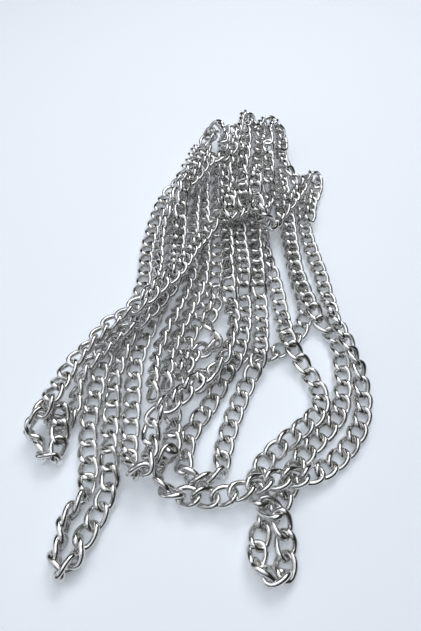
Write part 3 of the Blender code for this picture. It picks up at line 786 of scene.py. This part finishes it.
@dataclass(frozen=True)
class Drop:
    """How a chain comes to rest when it is dropped along its route.

    A run bends no tighter than its bend radius and climbs no steeper than the steepest slope. It
    leans over where one of its sides rests higher than the other. It doesn't rest on its own last
    points, and the links stop short of the route's ends by the end reach. In a fold, where the lay
    is more than the fold turn, the chain is slack. Changes are evened out over the blends. Lengths
    are in millimetres and turns in degrees.
    """

    step: float = 1.0
    rest_gap: float = 0.4
    bend_radius: float = 15.0
    steepest: float = 0.9
    most_lean: float = 60.0
    lean_arm: float = 5.5
    lean_sides: tuple[float, float] = (1.5, 5.5)
    lean_blend: float = 5.0
    rest_blend: float = 2.5
    edge_spare: float = 0.3
    rounds: int = 3
    own_clearance: int = 16
    end_reach: int = 3
    fold_slack: float = 0.2
    fold_turn: float = 25.0
    fold_blend: float = 4.0
    span_reach: float = 60.0
    curve_pieces: int = 12
    eye_height: float = 228.0

    def span(self, demand: np.ndarray) -> np.ndarray:
        """Give the lowest line that clears the demand and bends no tighter than the chain can."""
        reach = int(self.span_reach / self.step)
        away = np.abs(np.arange(-reach, reach + 1) * self.step)
        straight_from = self.steepest * self.bend_radius
        curved = away ** 2 / (2.0 * self.bend_radius)
        straight = (straight_from ** 2 / (2.0 * self.bend_radius)
                    + self.steepest * (away - straight_from))
        drop = np.where(away < straight_from, curved, straight)
        padded = np.pad(demand, reach, constant_values=-np.inf)
        windows = np.lib.stride_tricks.sliding_window_view(padded, 2 * reach + 1)
        return (windows - drop).max(axis=1)

    def curve_through(self, points: np.ndarray) -> tuple[np.ndarray, np.ndarray]:
        """Run a smooth plan curve through the points of a route.

        Args:
            points: array of x, y and turn on edge.

        Returns:
            The curve's points at even steps, and the place of each route point along it.
        """
        ends = np.vstack([2.0 * points[0] - points[1], points, 2.0 * points[-1] - points[-2]])
        dense = []
        for index in range(1, len(ends) - 2):
            four = ends[index - 1:index + 3]
            knots = np.concatenate([[0.0], np.cumsum(
                np.sqrt(np.linalg.norm(np.diff(four[:, :2], axis=0), axis=1)))])
            when = np.linspace(knots[1], knots[2], self.curve_pieces, endpoint=False)[:, None]
            straight = [on_line(four[k], four[k + 1], knots[k], knots[k + 1], when)
                        for k in range(3)]
            bent = [on_line(straight[k], straight[k + 1], knots[k], knots[k + 2], when)
                    for k in range(2)]
            dense.append(on_line(bent[0], bent[1], knots[1], knots[2], when))
        dense = np.vstack(dense + [points[-1:]])
        length = np.concatenate(
            [[0.0], np.cumsum(np.linalg.norm(np.diff(dense[:, :2], axis=0), axis=1))])
        even = np.linspace(0.0, length[-1], int(round(length[-1] / self.step)) + 1)
        curve = np.stack([np.interp(even, length, dense[:, axis]) for axis in range(3)], axis=1)
        return curve, length[::self.curve_pieces] / self.step

    def lean_on(self, bed: Bed, path: np.ndarray) -> np.ndarray:
        """Give how far a run leans over, in degrees, on what lies under its two sides."""
        offsets = np.arange(*self.lean_sides, bed.cell)
        left = bed.across(path, -offsets).max(axis=1)
        right = bed.across(path, offsets).max(axis=1)
        lean = np.degrees(np.arctan2(right - left, self.lean_arm))
        return smooth(np.clip(lean, -self.most_lean, self.most_lean), self.lean_blend, self.step)

    def demand_of(self, bed: Bed, path: np.ndarray, roll: np.ndarray) -> np.ndarray:
        """Give the least height of a run's middle at each point, clear of what lies there."""
        offsets = np.arange(-bed.reach, bed.reach + bed.cell, bed.cell)
        under, over = ENVELOPE.under_and_over(roll, offsets)
        inside = over > under - self.edge_spare
        lies = bed.across(path, offsets)
        clear = np.where(inside & (lies > 0.0), lies + self.rest_gap - under, -np.inf).max(axis=1)
        floor = np.where(inside, -under, -np.inf).max(axis=1)
        return np.maximum(clear, floor)

    def ease(self, demand: np.ndarray) -> np.ndarray:
        """Give the heights at which a run rests, without kinks."""
        taut = self.span(demand)
        eased = smooth(taut, self.rest_blend, self.step)
        eased += self.span(np.maximum(demand - eased, 0.0))
        return np.maximum(eased, demand)

    def settle(
            self, bed: Bed, curve: np.ndarray, breaks: list[int]) -> tuple[np.ndarray, np.ndarray]:
        """Lay one chain on the bed, run by run.

        A run's true plan depends on its height, as its route is given by lines of sight, so the
        chain is laid a few times, each time with the heights of the time before.

        Args:
            bed: the floor and the chains under this one.
            curve: plan points and turns on edge at even steps.
            breaks: place along the curve where each run starts, and the end of the last one.

        Returns:
            The path of the chain in space, and its roll in radians.
        """
        before = bed.height
        on_edge = self.folded(curve)
        heights = np.zeros(len(curve))
        for _ in range(self.rounds):
            toward_eye = 1.0 - heights[:, None] / self.eye_height
            path = np.column_stack([curve[:, :2] * toward_eye, heights])
            bed.height = before.copy()
            roll = np.radians(self.lean_on(bed, path) * (1.0 - on_edge) + curve[:, 2])
            demand = np.zeros(len(path))
            for start, end in zip(breaks, breaks[1:]):
                demand[start:end] = self.demand_of(bed, path[start:end], roll[start:end])
                path[:end, 2] = self.ease(demand[:end])
                clear_of_next = max(end - self.own_clearance, 2)
                bed.add(path[:clear_of_next], roll[:clear_of_next])
            heights = path[:, 2].copy()
        bed.add(path, roll)
        return path, roll

    def folded(self, curve: np.ndarray) -> np.ndarray:
        """Give how far each point of a curve is in a fold, from 0 to 1."""
        turned = np.abs(curve[:, 2]) > self.fold_turn
        return smooth(turned.astype(float), self.fold_blend, self.step)

    def pace(self, path: np.ndarray, on_edge: np.ndarray) -> np.ndarray:
        """Give the places along a path where one link locks into the next.

        Args:
            path: the settled path of a chain.
            on_edge: how far each point is in a fold, where the chain is slack and its links crowd.

        Returns:
            The places, a pitch apart or less.
        """
        index = self.end_reach
        places = [float(index)]
        here = path[index]
        while True:
            pitch = LINK.pitch * (1.0 - self.fold_slack * on_edge[index])
            ahead = index + 1
            while ahead < len(path) and np.linalg.norm(path[ahead] - here) < pitch:
                ahead += 1
            if ahead >= len(path) - self.end_reach:
                return np.array(places)
            near, far = (np.linalg.norm(path[at] - here) for at in (ahead - 1, ahead))
            share = (pitch - near) / max(far - near, TINY)
            here = path[ahead - 1] + (path[ahead] - path[ahead - 1]) * share
            places.append(ahead - 1 + share)
            index = ahead - 1


@dataclass
class ChainHeap:
    """The heap: every run of the chain, laid in order and dressed in nickel.

    The middle is the heap's own, on the plan of the routes. The link roll and swing are how far the
    slack of a joint lets a link turn about the chain and across it, in degrees.
    """

    routes: tuple[tuple[tuple[str, tuple], ...], ...]
    middle: tuple[float, float, float] = (-3.7, 199.0, 0.0)
    drop: Drop = Drop()
    link_roll: float = 11.0
    link_swing: float = 5.0
    seed: int = 7
    smoothing: int = 1

    def lay(self) -> list[Run]:
        """Lay every chain in turn.

        Returns:
            The runs in the order in which they were laid.
        """
        bed = Bed(self.drop.step)
        laid = []
        for chain in self.routes:
            points = np.array(
                [(*point[:2], point[2].value if len(point) > 2 else Lay.FLAT.value)
                 for _, route in chain for point in route], float)
            starts = np.cumsum([0] + [len(route) for _, route in chain])
            curve, marks = self.drop.curve_through(points)
            breaks = [int(marks[min(start, len(marks) - 1)]) for start in starts]
            breaks[-1] = len(curve)
            path, roll = self.drop.settle(bed, curve, breaks)
            places = self.drop.pace(path, self.drop.folded(curve))
            joints = [Vector(point) for point in at_places(path, places)]
            rolls = at_places(roll, places)
            cuts = [int(np.argmin(np.abs(places - mark))) for mark in breaks]
            cuts[0], cuts[-1] = 0, len(places) - 1
            for (name, _), first, last in zip(chain, cuts, cuts[1:]):
                laid.append(Run(name, joints, rolls, first, last))
        return laid

    def build_run(
            self, run: Run, link: bpy.types.Mesh, play: Play, room: Room) -> bpy.types.Object:
        """Join the links of one run to one piece.

        Args:
            run: the run, with its joints.
            link: the mesh of one link.
            play: how far the links sit out of line.
            room: the box that they stay in.

        Returns:
            The piece, with its place in its mesh.
        """
        shape = bmesh.new()
        for place in run.link_places(Vector(self.middle), play, room):
            before = len(shape.verts)
            shape.from_mesh(link)
            shape.verts.ensure_lookup_table()
            added = shape.verts[before:]
            warmth = play.next_tone()
            tone = shape.verts.layers.float["tone"]
            for vert in added:
                vert[tone] = warmth
            bmesh.ops.transform(shape, matrix=place, verts=added)
        mesh = bpy.data.meshes.new(run.name + "_links")
        shape.to_mesh(mesh)
        shape.free()
        piece = bpy.data.objects.new(mesh.name, mesh)
        bpy.context.scene.collection.objects.link(piece)
        rounding = piece.modifiers.new("round_wire", "SUBSURF")
        rounding.levels = self.smoothing
        rounding.render_levels = self.smoothing
        return piece

    def dress(self, piece: bpy.types.Object, run: Run, finish: bpy.types.Material) -> None:
        """Plate a run and set it in the place of its solid band.

        Args:
            piece: the joined links.
            run: the run that they belong to.
            finish: the plating.
        """
        piece.data.materials.append(finish)
        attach(piece, BODY)
        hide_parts(run.name)

    def build(self, finish: bpy.types.Material, room: Room) -> list[bpy.types.Object]:
        """Build every run.

        Args:
            finish: the plating of the links.
            room: the box that they stay in.

        Returns:
            The pieces, one for each run.
        """
        play = Play(self.link_roll, self.link_swing, self.seed)
        link = LINK.build()
        pieces = []
        for run in self.lay():
            piece = self.build_run(run, link, play, room)
            self.dress(piece, run, finish)
            LOG.info("%s: %d links", piece.name, run.count)
            pieces.append(piece)
        bpy.data.meshes.remove(link)
        return pieces


@dataclass(frozen=True)
class PaleFloor:
    """The plain pale floor that the heap lies on, a matt sheet that is faintly blue.

    It glows a little, like a white sheet in light from all round, so no shadow on it is dark. Far
    from the heap, past the reach of the lights, it glows more and meets the backdrop: from near
    to far, which are in metres like the radius, the glow grows.
    """

    colour: str = "#EDF2F8"
    roughness: float = 0.6
    radius: float = 4.0
    corners: int = 64
    grain_mm: float = 1.5
    grain_height_mm: float = 0.05
    grain_strength: float = 0.3
    near_glow: float = 0.2
    far_glow: float = 0.74
    near: float = 0.5
    far: float = 1.7

    def make(self) -> bpy.types.Material:
        """Make the floor's finish.

        Returns:
            The material, which reads object coordinates alone.
        """
        finish = bpy.data.materials.new("pale_matt_floor")
        finish.use_nodes = True
        tree = finish.node_tree
        shader = tree.nodes["Principled BSDF"]
        shader.inputs["Base Color"].default_value = linear(self.colour)
        shader.inputs["Roughness"].default_value = self.roughness
        shader.inputs["Emission Color"].default_value = linear(self.colour)
        places = add_node(tree, "ShaderNodeTexCoord", {}, {})
        away = add_node(
            tree, "ShaderNodeVectorMath", {}, {0: places.outputs["Object"]}, operation="LENGTH")
        glow = add_node(
            tree, "ShaderNodeMapRange",
            {"From Min": self.near, "From Max": self.far, "To Min": self.near_glow,
             "To Max": self.far_glow},
            {"Value": away.outputs["Value"]})
        tree.links.new(glow.outputs["Result"], shader.inputs["Emission Strength"])
        grain = add_node(
            tree, "ShaderNodeTexNoise", {"Scale": 1.0 / (self.grain_mm * MM), "Detail": 2.0},
            {"Vector": places.outputs["Object"]})
        bump = add_node(
            tree, "ShaderNodeBump",
            {"Strength": self.grain_strength, "Distance": self.grain_height_mm * MM},
            {"Height": grain.outputs["Fac"]})
        tree.links.new(bump.outputs["Normal"], shader.inputs["Normal"])
        return finish

    def build(self) -> bpy.types.Object:
        """Lay the floor under the heap.

        Returns:
            The floor, which is not part of the object.
        """
        shape = bmesh.new()
        bmesh.ops.create_circle(shape, cap_ends=True, segments=self.corners, radius=self.radius)
        mesh = bpy.data.meshes.new("floor")
        shape.to_mesh(mesh)
        shape.free()
        mesh.materials.append(self.make())
        floor = bpy.data.objects.new("floor", mesh)
        bpy.context.scene.collection.objects.link(floor)
        floor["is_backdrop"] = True
        return floor


@dataclass(frozen=True)
class Softbox:
    """A plain soft light over the heap, in metres and watts."""

    name: str
    place: tuple[float, float, float]
    size: tuple[float, float]
    power: float
    colour: str

    def build(self, aim: Vector) -> bpy.types.Object:
        """Hang the light and point it at the heap.

        Args:
            aim: the point that it faces.

        Returns:
            The light.
        """
        lamp = bpy.data.lights.new(self.name, "AREA")
        lamp.shape = "RECTANGLE"
        lamp.size, lamp.size_y = self.size
        lamp.energy = self.power
        lamp.color = linear(self.colour)[:3]
        holder = bpy.data.objects.new(self.name, lamp)
        holder.location = self.place
        holder.rotation_euler = (aim - Vector(self.place)).to_track_quat("-Z", "Y").to_euler()
        bpy.context.scene.collection.objects.link(holder)
        return holder


@dataclass(frozen=True)
class Studio:
    """The light of the scene: soft lights that the wires mirror as white, and a dark room.

    The window behind the heap draws the streaks on the far strands and the tent those on the near
    ones, and the ceiling and the wall soften the shadows. The wires mirror the room as dark, and
    the camera sees the pale backdrop in its place.
    """

    lights: tuple[Softbox, ...] = (
        Softbox("window", (0.2, 0.65, 0.9), (0.7, 0.45), 4.2, "#FAFCFF"),
        Softbox("tent", (-0.05, 0.1, 1.0), (1.1, 1.0), 4.8, "#F4F8FF"),
        Softbox("ceiling", (-0.8, -0.7, 2.0), (3.0, 3.0), 14.5, "#F1F6FF"),
        Softbox("left_wall", (-0.8, -0.3, 0.4), (0.7, 0.4), 0.7, "#F4F8FF"),
    )
    room: str = "#7A7B74"
    room_strength: float = 0.16
    backdrop: str = "#E3ECF5"

    def build(self) -> list[bpy.types.Object]:
        """Hang the lights and shade the room.

        Returns:
            The lights.
        """
        world = bpy.data.worlds.new("studio")
        world.use_nodes = True
        tree = world.node_tree
        tree.nodes["Background"].inputs["Color"].default_value = linear(self.room)
        tree.nodes["Background"].inputs["Strength"].default_value = self.room_strength
        seen = add_node(
            tree, "ShaderNodeBackground", {"Color": linear(self.backdrop), "Strength": 1.0}, {})
        path = add_node(tree, "ShaderNodeLightPath", {}, {})
        mix = add_node(
            tree, "ShaderNodeMixShader", {},
            {0: path.outputs["Is Camera Ray"], 1: tree.nodes["Background"].outputs["Background"],
             2: seen.outputs["Background"]})
        tree.links.new(mix.outputs["Shader"], tree.nodes["World Output"].inputs["Surface"])
        bpy.context.scene.world = world
        bpy.context.scene.view_settings.view_transform = "Standard"
        return [light.build(Vector((0.0, 0.0, 0.0))) for light in self.lights]


@dataclass(frozen=True)
class HeapCamera:
    """The camera: close over the front of the heap and looking down at it.

    Its place, its tilt below level and its focal length in pixels of the picture are the ones that
    fit the photograph's perspective.
    """

    place: tuple[float, float, float] = (0.0037, -0.199, 0.228)
    below_level: float = 53.8
    focal_pixels: float = 454.0
    picture: tuple[int, int] = (421, 631)
    sensor: float = 36.0
    nearest: float = 0.01

    def build(self) -> bpy.types.Object:
        """Set up the camera and make it the scene's.

        Returns:
            The camera.
        """
        lens = bpy.data.cameras.new("camera")
        lens.sensor_width = self.sensor
        lens.lens = self.focal_pixels * self.sensor / max(self.picture)
        lens.clip_start = self.nearest
        camera = bpy.data.objects.new("camera", lens)
        camera.location = self.place
        camera.rotation_euler = (math.radians(90.0 - self.below_level), 0.0, 0.0)
        bpy.context.scene.collection.objects.link(camera)
        bpy.context.scene.camera = camera
        return camera


def main() -> None:
    """Dress the frame: build the heap, the floor, the lights and the camera."""
    logging.basicConfig(level=logging.INFO, format="%(message)s")
    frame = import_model()
    solid_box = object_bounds()
    LOG.info("frame: %d solid bands", len(frame["nodes"]))
    room = Room(*(Vector(corner) / MM for corner in solid_box))
    pieces = ChainHeap(CHAINS).build(NickelPlate().make(), room)
    LOG.info("%d runs in all", len(pieces))
    LOG.info("floor: %s", PaleFloor().build().name)
    LOG.info("lights: %d", len(Studio().build()))
    LOG.info("camera: %s", HeapCamera().build().name)


if __name__ == "__main__":
    main()
